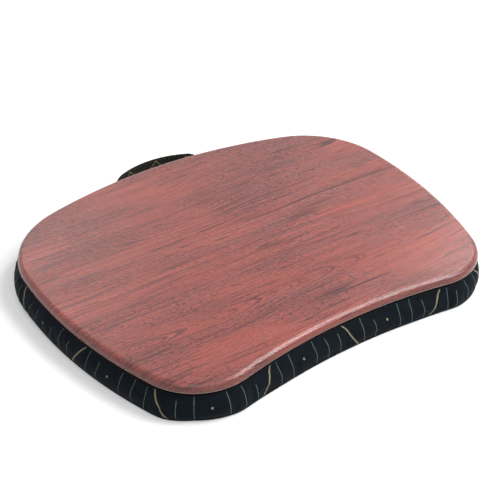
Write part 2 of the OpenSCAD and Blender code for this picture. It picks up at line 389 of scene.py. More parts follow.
def makeBoard():
    bm = bmesh.new()
    ring, _ = outlineRing(bm, board["step"])
    low, high = board["low"], board["low"] + board["thickness"]
    for vertex in ring:
        vertex.co.z = low
    lowEdges = list(bm.edges)
    _, highEdges = nextRow(bm, lowEdges, 0, high)
    for edges in (lowEdges, highEdges):
        bmesh.ops.contextual_create(bm, geom=edges)
    bmesh.ops.recalc_face_normals(bm, faces=bm.faces)
    for edges, offset, segments in ((highEdges, board["topRound"], board["roundSegments"]),
                                    (lowEdges, board["bottomRound"], board["bottomSegments"])):
        bmesh.ops.bevel(bm, geom=edges, offset=offset, offset_type="OFFSET", segments=segments,
                        profile=0.5, affect="EDGES", material=-1, clamp_overlap=True)
    under, top = sorted((f for f in bm.faces if len(f.verts) > 8), key=lambda f: f.calc_center_median().z)
    bmesh.ops.inset_region(bm, faces=[top], thickness=board["topInset"], use_even_offset=True)
    bmesh.ops.inset_region(bm, faces=[under], thickness=board["underInset"], depth=board["underDepth"],
                           use_even_offset=True)
    bmesh.ops.recalc_face_normals(bm, faces=bm.faces)
    bm.normal_update()

    # the foil's print runs on over the round edge, so its map is laid out flat from the top
    foilMap = bm.loops.layers.uv.new("foil")
    for face in bm.faces:
        for loop in face.loops:
            vertex = loop.vert
            sideways = Vector((vertex.normal.x, vertex.normal.y))
            drop = high - vertex.co.z
            reach = sideways.normalized() * drop if sideways.length > 1e-4 else Vector((0, 0))
            loop[foilMap].uv = (vertex.co.x + reach.x, vertex.co.y + reach.y)
    piece = finishPiece(bm, "board", [foilMaterial()])
    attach(piece, "desk")
    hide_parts("woodgrain_foil", "board_core")


makeBoard()
print("board made")


# The print of the cushion's side band, in metres: strokes, a slant, strokes and a dot repeat
clothPrint = {
    "navy": "#030c14",
    "gold": "#8f866b",
    "slate": "#5f6a68",
    "pitch": 0.0172,  # from one stroke to the next
    "strokeHalf": 0.00038,
    "slantHalf": 0.00085,
    "dotR": 0.0013,
    "group": 7,
    "slantPlace": 3,
    "dotPlace": 6,
    "footLow": -0.005,
    "footSpread": 0.008,
    "headLow": 0.020,
    "headSpread": 0.018,
    "slantHigh": 0.0150,
    "slantLean": 0.62,
    "dotHigh": 0.0165,
}


# Brushed polyester, woven and printed: near-black navy with thin slate and gold lines, and no shine
def printedClothMaterial():
    material, tree = newMaterial("polyesterPrintedNavy")
    place = addNode(tree, "ShaderNodeUVMap", {"uv_map": "cloth"})
    axes = addNode(tree, "ShaderNodeSeparateXYZ", {}, {"Vector": place})
    cells = addNode(tree, "ShaderNodeMath", {"operation": "DIVIDE", 1: clothPrint["pitch"]},
                    {0: axes.outputs["X"]})
    index = addNode(tree, "ShaderNodeMath", {"operation": "FLOOR"}, {0: cells})
    within = addNode(tree, "ShaderNodeMath", {"operation": "FRACT"}, {0: cells})
    chance = addNode(tree, "ShaderNodeTexWhiteNoise", {"noise_dimensions": "1D"}, {"W": index})
    chances = addNode(tree, "ShaderNodeSeparateColor", {}, {"Color": chance.outputs["Color"]})
    inGroup = addNode(tree, "ShaderNodeMath", {"operation": "FLOORED_MODULO", 1: float(clothPrint["group"])},
                      {0: cells})
    member = addNode(tree, "ShaderNodeMath", {"operation": "FLOOR"}, {0: inGroup})
    isSlant = addNode(tree, "ShaderNodeMath",
                      {"operation": "COMPARE", 1: float(clothPrint["slantPlace"]), 2: 0.25}, {0: member})
    isDot = addNode(tree, "ShaderNodeMath",
                    {"operation": "COMPARE", 1: float(clothPrint["dotPlace"]), 2: 0.25}, {0: member})

    # upright strokes of uneven length
    strokeEdge = clothPrint["strokeHalf"] / clothPrint["pitch"]
    stroke = thinLine(tree, within, 0.5, strokeEdge * 0.75, strokeEdge * 1.25)
    foot = addNode(tree, "ShaderNodeMath",
                   {"operation": "MULTIPLY_ADD", 1: clothPrint["footSpread"], 2: clothPrint["footLow"]},
                   {0: chances.outputs["Red"]})
    head = addNode(tree, "ShaderNodeMath",
                   {"operation": "MULTIPLY_ADD", 1: clothPrint["headSpread"], 2: clothPrint["headLow"]},
                   {0: chances.outputs["Green"]})
    aboveFoot = addNode(tree, "ShaderNodeMath", {"operation": "GREATER_THAN"},
                        {0: axes.outputs["Y"], 1: foot})
    belowHead = addNode(tree, "ShaderNodeMath", {"operation": "LESS_THAN"}, {0: axes.outputs["Y"], 1: head})
    reach = addNode(tree, "ShaderNodeMath", {"operation": "MULTIPLY"}, {0: aboveFoot, 1: belowHead})
    special = addNode(tree, "ShaderNodeMath", {"operation": "ADD"}, {0: isSlant, 1: isDot})
    plain = addNode(tree, "ShaderNodeMath", {"operation": "SUBTRACT", 0: 1.0}, {1: special})
    strokeReach = addNode(tree, "ShaderNodeMath", {"operation": "MULTIPLY"}, {0: stroke, 1: reach})
    strokes = addNode(tree, "ShaderNodeMath", {"operation": "MULTIPLY"}, {0: strokeReach, 1: plain})

    # slanted strokes lean one way and then the other
    pair = addNode(tree, "ShaderNodeMath", {"operation": "FLOORED_MODULO", 1: 2.0 * clothPrint["group"]},
                   {0: cells})
    turned = addNode(tree, "ShaderNodeMath", {"operation": "GREATER_THAN", 1: float(clothPrint["group"])},
                     {0: pair})
    lean = addNode(tree, "ShaderNodeMapRange",
                   {"To Min": -clothPrint["slantLean"], "To Max": clothPrint["slantLean"]}, {"Value": turned})
    slantX = addNode(tree, "ShaderNodeMath",
                     {"operation": "MULTIPLY_ADD", 1: clothPrint["pitch"],
                      2: -(clothPrint["slantPlace"] + 0.5) * clothPrint["pitch"]}, {0: inGroup})
    slantY = addNode(tree, "ShaderNodeMath", {"operation": "SUBTRACT", 1: clothPrint["slantHigh"]},
                     {0: axes.outputs["Y"]})
    slantRun = addNode(tree, "ShaderNodeMath", {"operation": "MULTIPLY"}, {0: slantY, 1: lean})
    slantOff = addNode(tree, "ShaderNodeMath", {"operation": "SUBTRACT"}, {0: slantX, 1: slantRun})
    slants = thinLine(tree, slantOff, 0.0, clothPrint["slantHalf"] * 0.95, clothPrint["slantHalf"] * 1.45)

    # a small dot closes each group
    dotX = addNode(tree, "ShaderNodeMath",
                   {"operation": "MULTIPLY_ADD", 1: clothPrint["pitch"],
                    2: -(clothPrint["dotPlace"] + 0.5) * clothPrint["pitch"]}, {0: inGroup})
    dotY = addNode(tree, "ShaderNodeMath", {"operation": "SUBTRACT", 1: clothPrint["dotHigh"]},
                   {0: axes.outputs["Y"]})
    dotPlace = addNode(tree, "ShaderNodeCombineXYZ", {}, {"X": dotX, "Y": dotY})
    dotFar = addNode(tree, "ShaderNodeVectorMath", {"operation": "LENGTH"}, {0: dotPlace})
    dots = addNode(tree, "ShaderNodeMapRange",
                   {"interpolation_type": "SMOOTHSTEP", "From Min": clothPrint["dotR"] * 1.2,
                    "From Max": clothPrint["dotR"] * 0.8}, {"Value": dotFar.outputs["Value"]})

    linesA = addNode(tree, "ShaderNodeMath", {"operation": "MAXIMUM"}, {0: strokes, 1: slants})
    lines = addNode(tree, "ShaderNodeMath", {"operation": "MAXIMUM"}, {0: linesA, 1: dots})
    slateTone, goldTone = linearColour(clothPrint["slate"]), linearColour(clothPrint["gold"])
    inkTone = addNode(tree, "ShaderNodeMix", {"data_type": "RGBA", 6: slateTone, 7: goldTone}, {0: special})
    return clothShader(material, tree, place, clothPrint["navy"], lines, inkTone.outputs[2])


# The weave of each cloth piece: its threads are 0.5 mm, drawn 0.9 mm wide so that they show
clothWeave = {
    "panelBlack": "#101216",
    "threadScale": 350.0,
    "napScale": 420.0,
    "napShare": 0.8,
    "relief": 0.0003,
    "roughness": 0.8,
    "sheen": 0.02,
    "specular": 0.12,
}


# Dyed ground, ink worn thin on it where there is any, weave and nap
def clothShader(material, tree, place, groundHex, ink=None, inkTone=None):
    wear = addNode(tree, "ShaderNodeTexNoise",
                   {"noise_dimensions": "2D", "Scale": clothWeave["napScale"], "Detail": 2.0},
                   {"Vector": place})
    tone = addNode(tree, "ShaderNodeTexNoise", {"noise_dimensions": "2D", "Scale": 30.0, "Detail": 3.0},
                   {"Vector": place})
    shade = addNode(tree, "ShaderNodeMapRange", {"To Min": 0.7, "To Max": 1.3}, {"Value": tone})
    ground = addNode(tree, "ShaderNodeMix",
                     {"data_type": "RGBA", "blend_type": "MULTIPLY", 0: 1.0, 6: linearColour(groundHex)},
                     {7: shade})
    colour = ground
    if ink:
        wornInk = addNode(tree, "ShaderNodeMapRange", {"From Min": 0.25, "From Max": 0.55, "To Min": 0.7},
                          {"Value": wear})
        inked = addNode(tree, "ShaderNodeMath", {"operation": "MULTIPLY"}, {0: ink, 1: wornInk})
        colour = addNode(tree, "ShaderNodeMix", {"data_type": "RGBA"},
                         {0: inked, 6: ground.outputs[2], 7: inkTone})
    warp, weft = [addNode(tree, "ShaderNodeTexWave", {"wave_type": "BANDS", "bands_direction": direction,
                                                     "Scale": clothWeave["threadScale"], "Distortion": 1.2},
                          {"Vector": place})
                  for direction in "XY"]
    weave = addNode(tree, "ShaderNodeMath", {"operation": "MULTIPLY"}, {0: warp, 1: weft})
    nap = addNode(tree, "ShaderNodeMath", {"operation": "MULTIPLY_ADD", 1: clothWeave["napShare"]},
                  {0: wear, 2: weave})
    bump = addNode(tree, "ShaderNodeBump", {"Strength": 0.5, "Distance": clothWeave["relief"]},
                   {"Height": nap})
    shader = addNode(tree, "ShaderNodeBsdfPrincipled",
                     {"Roughness": clothWeave["roughness"], "Sheen Weight": clothWeave["sheen"],
                      "Sheen Roughness": 0.4, "Specular IOR Level": clothWeave["specular"]},
                     {"Base Color": colour.outputs[2], "Normal": bump})
    addNode(tree, "ShaderNodeOutputMaterial", {}, {"Surface": shader})
    return material


# Plain polyester of the panels above and below: dyed, woven and unprinted
def plainClothMaterial():
    material, tree = newMaterial("polyesterPlainBlack")
    place = addNode(tree, "ShaderNodeTexCoord")
    return clothShader(material, tree, place.outputs["Object"], clothWeave["panelBlack"])


# The cushion, in metres: heights above the table, and growth past the board's outline
cushion = {
    "height": 0.0296,
    "bulge": 0.0065,
    "roundR": 0.020,
    "bulgeZ": 0.0135,
    "seamLow": 0.0019,
    "seamHigh": 0.0283,
    "bandRows": 16,
    "step": 0.0032,
    "startShare": 0.90,  # the band swells from this much of its bulge
    "seamDip": 0.0006,
    "upperSeamDip": 0.0010,
    # rows of the two panels: growth, and height above the table or the cushion's top
    "baseRows": ((-0.050, 0.0), (-0.022, 0.0), (-0.010, 0.0), (-0.003, 0.0),
                 (0.0010, 0.0001), (0.0031, 0.0006)),
    "topRows": ((-0.0035, -0.0003), (-0.008, 0.0), (-0.022, 0.0), (-0.050, 0.0)),
    # the way a side faces, in degrees, and how much fuller it lies at its foot there, in metres
    "fuller": ((-180, 0.0050), (-146, 0.0074), (-124, 0.0034), (-90, 0.0046), (-66, 0.0030),
               (-34, -0.0012), (0, 0.0010), (45, 0.0), (150, 0.0), (180, 0.0050)),
    # and the share of its bulge that it keeps
    "firmer": ((-90, 1.0), (-34, 0.25), (10, 1.0)),
    "waistFuller": 0.0034,
    "waistReach": (0.08, 0.20),  # fullest up to the first distance from the middle, and gone at the second
    "settleFrom": (-0.012, 0.002),  # growth past the outline at which a row starts to move, and moves in full
    "settleUpTo": (0.002, 0.028),  # height up to which a row moves in full, and at which none does
}


# A cushion laid on a table is fuller at its foot, most in the waist, and slack at the far front corner
def fullness(place, outward):
    facing = math.degrees(math.atan2(outward.y, outward.x))
    foot = float(np.interp(facing, *zip(*cushion["fuller"])))
    keep = float(np.interp(facing, *zip(*cushion["firmer"])))
    if place.y < 0:
        foot += cushion["waistFuller"] * (1 - smoothShare(abs(place.x), *cushion["waistReach"]))
    return foot, keep


# Only the rows outside the base panel's flat middle move, and the lowest move most
def settle(bm):
    home = bm.verts.layers.float_vector["home"]
    outward = bm.verts.layers.float_vector["outward"]
    for vertex in bm.verts:
        grown = (vertex.co - vertex[home]).dot(vertex[outward])
        foot, keep = fullness(vertex[home], vertex[outward])
        inner = smoothShare(grown, *cushion["settleFrom"])
        low = 1 - smoothShare(vertex.co.z, *cushion["settleUpTo"])
        more = foot * low * inner - max(0, grown) * (1 - keep)
        vertex.co += vertex[outward] * more


def bulgeAt(z):
    return (cushion["bulge"] - cushion["roundR"]
            + math.sqrt(cushion["roundR"] ** 2 - (z - cushion["bulgeZ"]) ** 2))


# The section from the base panel round the side to the top panel: growth and height of each row,
# and the numbers of the two seams' rows
def cushionSection():
    low, high, rows = cushion["seamLow"], cushion["seamHigh"], cushion["bandRows"]
    top = cushion["height"]
    base = list(cushion["baseRows"])
    seamBelow = [(bulgeAt(low) - cushion["seamDip"], low)]
    band = []
    for i in range(1, rows):
        z = low + (high - low) * i / rows
        full = bulgeAt(z)
        rest = bulgeAt(low) + (bulgeAt(high) - bulgeAt(low)) * i / rows
        band.append((rest + (full - rest) * cushion["startShare"], z))
    seamAbove = [(bulgeAt(high) - cushion["upperSeamDip"], high)]
    above = [(bulgeAt(high) - 0.0004, high + 0.0006),
             *((grow, top + rise) for grow, rise in cushion["topRows"])]
    return base + seamBelow + band + seamAbove + above, len(base), len(base) + 1 + len(band)


def makeCushion():
    bm = bmesh.new()
    bm.verts.layers.int.new("row")
    bm.verts.layers.float.new("upward")
    ring, length = outlineRing(bm, cushion["step"])
    home = bm.verts.layers.float_vector["home"]
    outward = bm.verts.layers.float_vector["outward"]
    along, upward = bm.verts.layers.float["along"], bm.verts.layers.float["upward"]
    rowOf = bm.verts.layers.int["row"]
    section, firstSeam, lastSeam = cushionSection()
    edges = list(bm.edges)
    for vertex in ring:
        vertex.co = vertex[home] + vertex[outward] * section[0][0] + Vector((0, 0, section[0][1]))
        vertex[upward] = section[0][0]
    climb = section[0][0]
    for number in range(1, len(section)):
        grow, z = section[number]
        climb += math.dist(section[number], section[number - 1])
        row, edges = nextRow(bm, edges, grow, z)
        for vertex in row:
            vertex[rowOf] = number
            vertex[upward] = climb
    settle(bm)
    bmesh.ops.recalc_face_normals(bm, faces=bm.faces)

    # the cloth's map runs along the band and up it, from the lower seam
    clothMap = bm.loops.layers.uv.new("cloth")
    seamClimb = next(v[upward] for v in bm.verts if v[rowOf] == firstSeam)
    for face in bm.faces:
        wraps = max(v[along] for v in face.verts) - min(v[along] for v in face.verts) > length / 2
        for loop in face.loops:
            vertex = loop.vert
            u = vertex[along] + (length if wraps and vertex[along] < length / 2 else 0)
            loop[clothMap].uv = (u, vertex[upward] - seamClimb)
        rows = [v[rowOf] for v in face.verts]
        face.material_index = 0 if min(rows) >= firstSeam and max(rows) <= lastSeam else 1
    held = [v.index for v in bm.verts if not firstSeam < v[rowOf] < lastSeam]
    piece = finishPiece(bm, "cushion", [printedClothMaterial(), plainClothMaterial()])
    return piece, held


# A short run of the cloth simulation, with the seams and panels held
swelling = {
    "frames": 20,
    "quality": 6,
    "mass": 0.12,
    "stretch": 12,
    "shear": 4,
    "bend": 0.02,
    "pressure": 4,
    "shrink": -0.02,
    "mostMove": 0.0016,  # metres
}


def swell(piece, held):
    mesh = piece.data
    start = np.empty(len(mesh.vertices) * 3)
    mesh.vertices.foreach_get("co", start)
    start = start.reshape(-1, 3)
    group = piece.vertex_groups.new(name="held")
    group.add(held, 1.0, "REPLACE")
    cloth = piece.modifiers.new("cloth", "CLOTH")
    settings = cloth.settings
    settings.quality = swelling["quality"]
    settings.mass = swelling["mass"]
    settings.tension_stiffness = settings.compression_stiffness = swelling["stretch"]
    settings.shear_stiffness = swelling["shear"]
    settings.bending_stiffness = swelling["bend"]
    settings.vertex_group_mass = "held"
    settings.use_pressure = True
    settings.uniform_pressure_force = swelling["pressure"]
    settings.shrink_min = swelling["shrink"]
    settings.effector_weights.gravity = 0
    cloth.collision_settings.use_collision = False
    cloth.collision_settings.use_self_collision = False
    cloth.point_cache.frame_start, cloth.point_cache.frame_end = 1, swelling["frames"]
    for number in range(1, swelling["frames"] + 1):
        scene.frame_set(number)
    depsgraph = bpy.context.evaluated_depsgraph_get()
    swollen = np.empty(len(mesh.vertices) * 3)
    piece.evaluated_get(depsgraph).data.vertices.foreach_get("co", swollen)
    move = swollen.reshape(-1, 3) - start
    far = np.linalg.norm(move, axis=1, keepdims=True)
    most, mean = float(far.max()) * 1000, float(far[far > 0].mean()) * 1000
    print(f"cloth moved {most:.2f} mm at most and {mean:.2f} mm on average")
    move *= np.minimum(1, swelling["mostMove"] / np.maximum(far, 1e-9))
    piece.modifiers.remove(cloth)
    piece.vertex_groups.clear()
    mesh.vertices.foreach_set("co", (start + move).ravel())
    mesh.update()
    scene.frame_set(1)


# One subdivision is applied, and then the two panels are closed over
def closePanels(piece):
    smooth = piece.modifiers.new("smooth", "SUBSURF")
    smooth.levels = smooth.render_levels = 1
    finer = bpy.data.meshes.new_from_object(piece.evaluated_get(bpy.context.evaluated_depsgraph_get()))
    piece.modifiers.remove(smooth)
    piece.data = finer
    bm = bmesh.new()
    bm.from_mesh(finer)
    made = bmesh.ops.holes_fill(bm, edges=[e for e in bm.edges if e.is_boundary], sides=0)["faces"]
    for face in made:
        face.material_index, face.smooth = 1, True
    bmesh.ops.recalc_face_normals(bm, faces=bm.faces)
    bm.to_mesh(finer)
    bm.free()


cushionPiece, heldVertices = makeCushion()
swell(cushionPiece, heldVertices)
closePanels(cushionPiece)
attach(cushionPiece, "desk")
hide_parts("cushion_side_band", "cushion_wadding", "cushion_foam", "cushion_base_panel",
            "cushion_top_panel")
print("cushion made")


# The strap handle, in metres: a bow between two tabs that are sewn to the cushion's back
handle = {
    "bowR": 0.1160,
    "bowY": 0.12976,  # the middle of the bow's circle
    "halfSpan": 0.075,
    "middleZ": 0.015,
    "height": 0.0280,
    "tabHeight": 0.020,
    "pinchHeight": 0.013,
    "thickness": 0.0032,
    "tabThickness": 0.0019,
    "tabEnd": 0.1000,
    "tabGap": 0.0003,
    "bowShort": 0.010,  # the bow ends this much inside the half span, and the tab starts outside it
    "tabStart": 0.012,
    "opening": (-0.021, -0.001),  # from the half span: where the pinched end opens to the full height
    "flattening": (0.002, 0.013),  # and where it lies down to the tab
    "step": 0.0022,
    "sectionPoints": 28,
    "squareAcross": 0.62,
    "squareUp": 0.42,
}

strapPrint = {
    "ground": "#06080c",
    "ink": "#8d8468",
    "zigzag": 0.023,  # half of one zigzag
    "zigzagHigh": 0.025,
    "lineFull": 0.0006,
    "lineHalf": 0.0011,
    "bare": 0.0024,  # beside the zigzag's line
    "hatchPitch": 0.0033,
    "hatchInk": 0.30,
}


# The strap's middle line from its left tab to its right one, seen from above
def handlePath():
    arcR = outline["backR"] + bulgeAt(cushion["bulgeZ"]) + handle["tabGap"] + handle["tabThickness"] / 2
    arcY = outline["depth"] / 2 - outline["backR"]
    bowR, bowY = handle["bowR"], handle["bowY"]
    turn = math.asin((handle["halfSpan"] - handle["bowShort"]) / bowR)
    bowEnd = Vector((bowR * math.sin(turn), bowY + bowR * math.cos(turn)))
    bowWay = Vector((math.cos(turn), -math.sin(turn)))
    tabTurn = math.asin((handle["halfSpan"] + handle["tabStart"]) / arcR)
    tabStart = Vector((arcR * math.sin(tabTurn), arcY + arcR * math.cos(tabTurn)))
    tabWay = Vector((math.cos(tabTurn), -math.sin(tabTurn)))
    endTurn = math.asin(handle["tabEnd"] / arcR)
    points = []
    bowSteps = round(turn * bowR / handle["step"])
    for i in range(bowSteps):
        a = turn * i / bowSteps
        points.append(Vector((bowR * math.sin(a), bowY + bowR * math.cos(a))))
    chord = (tabStart - bowEnd).length
    bendSteps = round(chord / handle["step"])
    for i in range(bendSteps):
        t = i / bendSteps
        points.append(bowEnd * (2 * t ** 3 - 3 * t ** 2 + 1) + bowWay * chord * (t ** 3 - 2 * t ** 2 + t)
                      + tabStart * (3 * t ** 2 - 2 * t ** 3) + tabWay * chord * (t ** 3 - t ** 2))
    tabSteps = round((endTurn - tabTurn) * arcR / handle["step"])
    for i in range(tabSteps + 1):
        a = tabTurn + (endTurn - tabTurn) * i / tabSteps
        points.append(Vector((arcR * math.sin(a), arcY + arcR * math.cos(a))))
    return [Vector((-p.x, p.y)) for p in reversed(points[1:])] + points


# How high and thick the strap is, and how much it hugs the bulge, at a distance from the middle
def strapSize(x):
    onTab = smoothShare(abs(x), *(handle["halfSpan"] + far for far in handle["flattening"]))
    opened = 1 - smoothShare(abs(x), *(handle["halfSpan"] + far for far in handle["opening"]))
    height = handle["pinchHeight"] + (handle["height"] - handle["pinchHeight"]) * opened
    height += (handle["tabHeight"] - height) * onTab
    thickness = handle["thickness"] + (handle["tabThickness"] - handle["thickness"]) * onTab
    return height, thickness, onTab


def strapPoint(point, way, size, across, up):
    height, thickness, onTab = size
    out = Vector((-way.y, way.x))
    z = handle["middleZ"] + up * height / 2
    hug = (bulgeAt(z) - cushion["bulge"]) * onTab
    flat = point + out * (across * thickness / 2 + hug)
    return Vector((flat.x, flat.y, z))


# Polyester of the strap, woven and printed: black, with a gold zigzag line in fine upright hatching
def strapMaterial():
    material, tree = newMaterial("polyesterHatchedBlack")
    place = addNode(tree, "ShaderNodeUVMap", {"uv_map": "cloth"})
    axes = addNode(tree, "ShaderNodeSeparateXYZ", {}, {"Vector": place})
    zigzag = addNode(tree, "ShaderNodeMath", {"operation": "PINGPONG", 1: strapPrint["zigzag"]},
                     {0: axes.outputs["X"]})
    level = addNode(tree, "ShaderNodeMath",
                    {"operation": "MULTIPLY", 1: strapPrint["zigzagHigh"] / strapPrint["zigzag"]},
                    {0: zigzag})
    under = addNode(tree, "ShaderNodeMath", {"operation": "SUBTRACT"}, {0: level, 1: axes.outputs["Y"]})
    hatchCells = addNode(tree, "ShaderNodeMath", {"operation": "DIVIDE", 1: strapPrint["hatchPitch"]},
                         {0: axes.outputs["X"]})
    hatchIn = addNode(tree, "ShaderNodeMath", {"operation": "PINGPONG", 1: 0.5}, {0: hatchCells})
    hatch = addNode(tree, "ShaderNodeMapRange",
                    {"interpolation_type": "SMOOTHSTEP", "From Min": 0.17, "From Max": 0.10,
                     "To Max": strapPrint["hatchInk"]}, {"Value": hatchIn})
    off = addNode(tree, "ShaderNodeMath", {"operation": "ABSOLUTE"}, {0: under})
    inside = addNode(tree, "ShaderNodeMath", {"operation": "GREATER_THAN", 1: strapPrint["bare"]}, {0: off})
    hatched = addNode(tree, "ShaderNodeMath", {"operation": "MULTIPLY"}, {0: hatch, 1: inside})
    slant = thinLine(tree, under, 0.0, strapPrint["lineFull"], strapPrint["lineHalf"])
    lines = addNode(tree, "ShaderNodeMath", {"operation": "MAXIMUM"}, {0: hatched, 1: slant})
    red, green, blue, _ = linearColour(strapPrint["ink"])
    inkTone = addNode(tree, "ShaderNodeCombineColor", {"Red": red, "Green": green, "Blue": blue})
    return clothShader(material, tree, place, strapPrint["ground"], lines, inkTone)


# At each point of the path: its place, the strap's direction there, and the length so far
def pathFrames():
    points = handlePath()
    frames, travelled = [], 0.0
    for i, point in enumerate(points):
        way = (points[min(i + 1, len(points) - 1)] - points[max(i - 1, 0)]).normalized()
        frames.append((point, way, travelled))
        if i + 1 < len(points):
            travelled += (points[i + 1] - point).length
    return frames


def makeStrap():
    bm = bmesh.new()
    around = bm.verts.layers.float_vector.new("around")
    clothMap = bm.loops.layers.uv.new("cloth")
    ring = bmesh.ops.create_circle(bm, segments=handle["sectionPoints"], radius=1)["verts"]
    for vertex in ring:  # the round section is squared off to a soft-edged strip
        x, y = vertex.co.x, vertex.co.y
        vertex[around] = Vector((math.copysign(abs(x) ** handle["squareAcross"], x),
                                 math.copysign(abs(y) ** handle["squareUp"], y), 0))
    edges, firstEdges = list(bm.edges), list(bm.edges)
    for number, (point, way, travelled) in enumerate(pathFrames()):
        if number:
            made = bmesh.ops.extrude_edge_only(bm, edges=edges)["geom"]
            ring = [v for v in made if isinstance(v, bmesh.types.BMVert)]
            edges = [e for e in made if isinstance(e, bmesh.types.BMEdge)]
        size = strapSize(point.x)
        for vertex in ring:
            vertex.co = strapPoint(point, way, size, vertex[around].x, vertex[around].y)
            vertex[around].z = travelled
    for loopEdges in (firstEdges, edges):
        cap = bmesh.ops.contextual_create(bm, geom=loopEdges)["faces"]
        bmesh.ops.inset_region(bm, faces=cap, thickness=0.0004, use_even_offset=True)
    bmesh.ops.recalc_face_normals(bm, faces=bm.faces)
    for face in bm.faces:
        for loop in face.loops:
            loop[clothMap].uv = (loop.vert[around].z,
                                 loop.vert.co.z - handle["middleZ"] + handle["height"] / 2)
    piece = finishPiece(bm, "handle_strap", [strapMaterial()])
    soft = piece.modifiers.new("smooth", "SUBSURF")
    soft.levels = soft.render_levels = 1
    return piece


# The strap bends over this stretch, from the cushion's back to the swinging bow
blendStart, blendEnd = (0, 0.2155, 0.015), (0, 0.2280, 0.015)
strap = makeStrap()
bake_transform(strap, "desk", "handle", start=blendStart, end=blendEnd)
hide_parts("handle_tab_left", "handle_tab_right", "handle_sleeve", "handle_webbing")
print("handle strap made")


# Stitches, in metres: a row along each edge of the strap, and bar tacks on its tabs
stitch = {
    "length": 0.0026,
    "pitch": 0.0036,
    "width": 0.0005,
    "edgeShare": 0.80,  # of the strap's half height
    "tackWidth": 0.0007,
    "tackPlaces": (0.0790, 0.0965),  # from the middle
    "tackRows": 19,
    "tackShare": 0.75,
    "tackSlant": 0.18,
    "hiddenFrom": 0.2,  # past this share of lying flat on the cushion, the strap's inner face has none
    "dark": "#0d0e11",
    "light": "#2b2c30",
}


# Bonded polyester thread, twisted and dyed black: a soft shine along each short stitch
def threadMaterial():
    material, tree = newMaterial("threadPolyesterBlack")
    place = addNode(tree, "ShaderNodeTexCoord")
    twist = addNode(tree, "ShaderNodeTexWave",
                    {"wave_type": "BANDS", "bands_direction": "DIAGONAL", "Scale": 500.0, "Distortion": 0.6},
                    {"Vector": place.outputs["Object"]})
    tone = addNode(tree, "ShaderNodeValToRGB", {}, {"Fac": twist})
    tone.color_ramp.elements[0].color = linearColour(stitch["dark"])
    tone.color_ramp.elements[1].color = linearColour(stitch["light"])
    bump = addNode(tree, "ShaderNodeBump", {"Strength": 0.4, "Distance": 0.0001}, {"Height": twist})
    shader = addNode(tree, "ShaderNodeBsdfPrincipled", {"Roughness": 0.42},
                     {"Base Color": tone, "Normal": bump})
    addNode(tree, "ShaderNodeOutputMaterial", {}, {"Surface": shader})
    return material


# One stitch is a slim bead laid along a direction, half sunk in the cloth
def layStitch(bm, centre, direction, out, width):
    side = direction.cross(out).normalized()
    turn = Matrix((direction, side, out)).transposed().to_4x4()
    size = Matrix.Diagonal((stitch["length"] / 2, width / 2, width / 2, 1))
    poles = Matrix.Rotation(math.pi / 2, 4, "Y")
    bmesh.ops.create_uvsphere(bm, u_segments=6, v_segments=4, radius=1,
                              matrix=Matrix.Translation(centre) @ turn @ size @ poles)


def makeTopstitch(material):
    bm = bmesh.new()
    frames = pathFrames()
    total = frames[-1][2]
    count = int(total / stitch["pitch"])
    for number in range(2, count - 1):
        distance = (number + 0.5) * total / count
        i = next(k for k, f in enumerate(frames) if f[2] >= distance)
        share = (distance - frames[i - 1][2]) / (frames[i][2] - frames[i - 1][2])
        point = frames[i - 1][0].lerp(frames[i][0], share)
        way = frames[i - 1][1].lerp(frames[i][1], share).normalized()
        size = strapSize(point.x)
        for face in (1, -1):
            if face < 0 and size[2] > stitch["hiddenFrom"]:
                continue
            for up in (stitch["edgeShare"], -stitch["edgeShare"]):
                across = (1 - abs(up) ** (2 / handle["squareUp"])) ** (handle["squareAcross"] / 2)
                centre = strapPoint(point, way, size, face * across, up)
                out = Vector((-way.y * face, way.x * face, 0))
                layStitch(bm, centre, Vector((way.x, way.y, 0)), out, stitch["width"])
    piece = finishPiece(bm, "handle_topstitch", [material])
    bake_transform(piece, "desk", "handle", start=blendStart, end=blendEnd)


# Each tab is held by two bars of close zigzag stitches
def makeBarTacks(material):
    bm = bmesh.new()
    frames = pathFrames()
    rows, share, lean = stitch["tackRows"], stitch["tackShare"], stitch["tackSlant"]
    for side in (-1, 1):
        for place in stitch["tackPlaces"]:
            point, way, _ = min(frames, key=lambda f: abs(f[0].x - side * place))
            size = strapSize(point.x)
            for row in range(rows):
                centre = strapPoint(point, way, size, 1.0, -share + 2 * share * row / (rows - 1))
                out = Vector((-way.y, way.x, 0))
                slant = Vector((way.x, way.y, lean if row % 2 else -lean)).normalized()
                layStitch(bm, centre, slant, out, stitch["tackWidth"])
    piece = finishPiece(bm, "handle_bar_tacks", [material])
    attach(piece, "desk")
    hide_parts("handle_stitches")


thread = threadMaterial()
makeTopstitch(thread)
makeBarTacks(thread)
print("stitches made")


# Hidden layers keep their solids. Each tape's pile is in metres, from one hook or loop to the next
layers = {
    "paperDark": "#8a7354",
    "paperPale": "#b59a76",
    "hook": {"pile": 0.0012, "dark": "#0a0a0b", "pale": "#2a2a2c"},
    "loop": {"pile": 0.0008, "dark": "#0c0c0e", "pale": "#242427"},
}


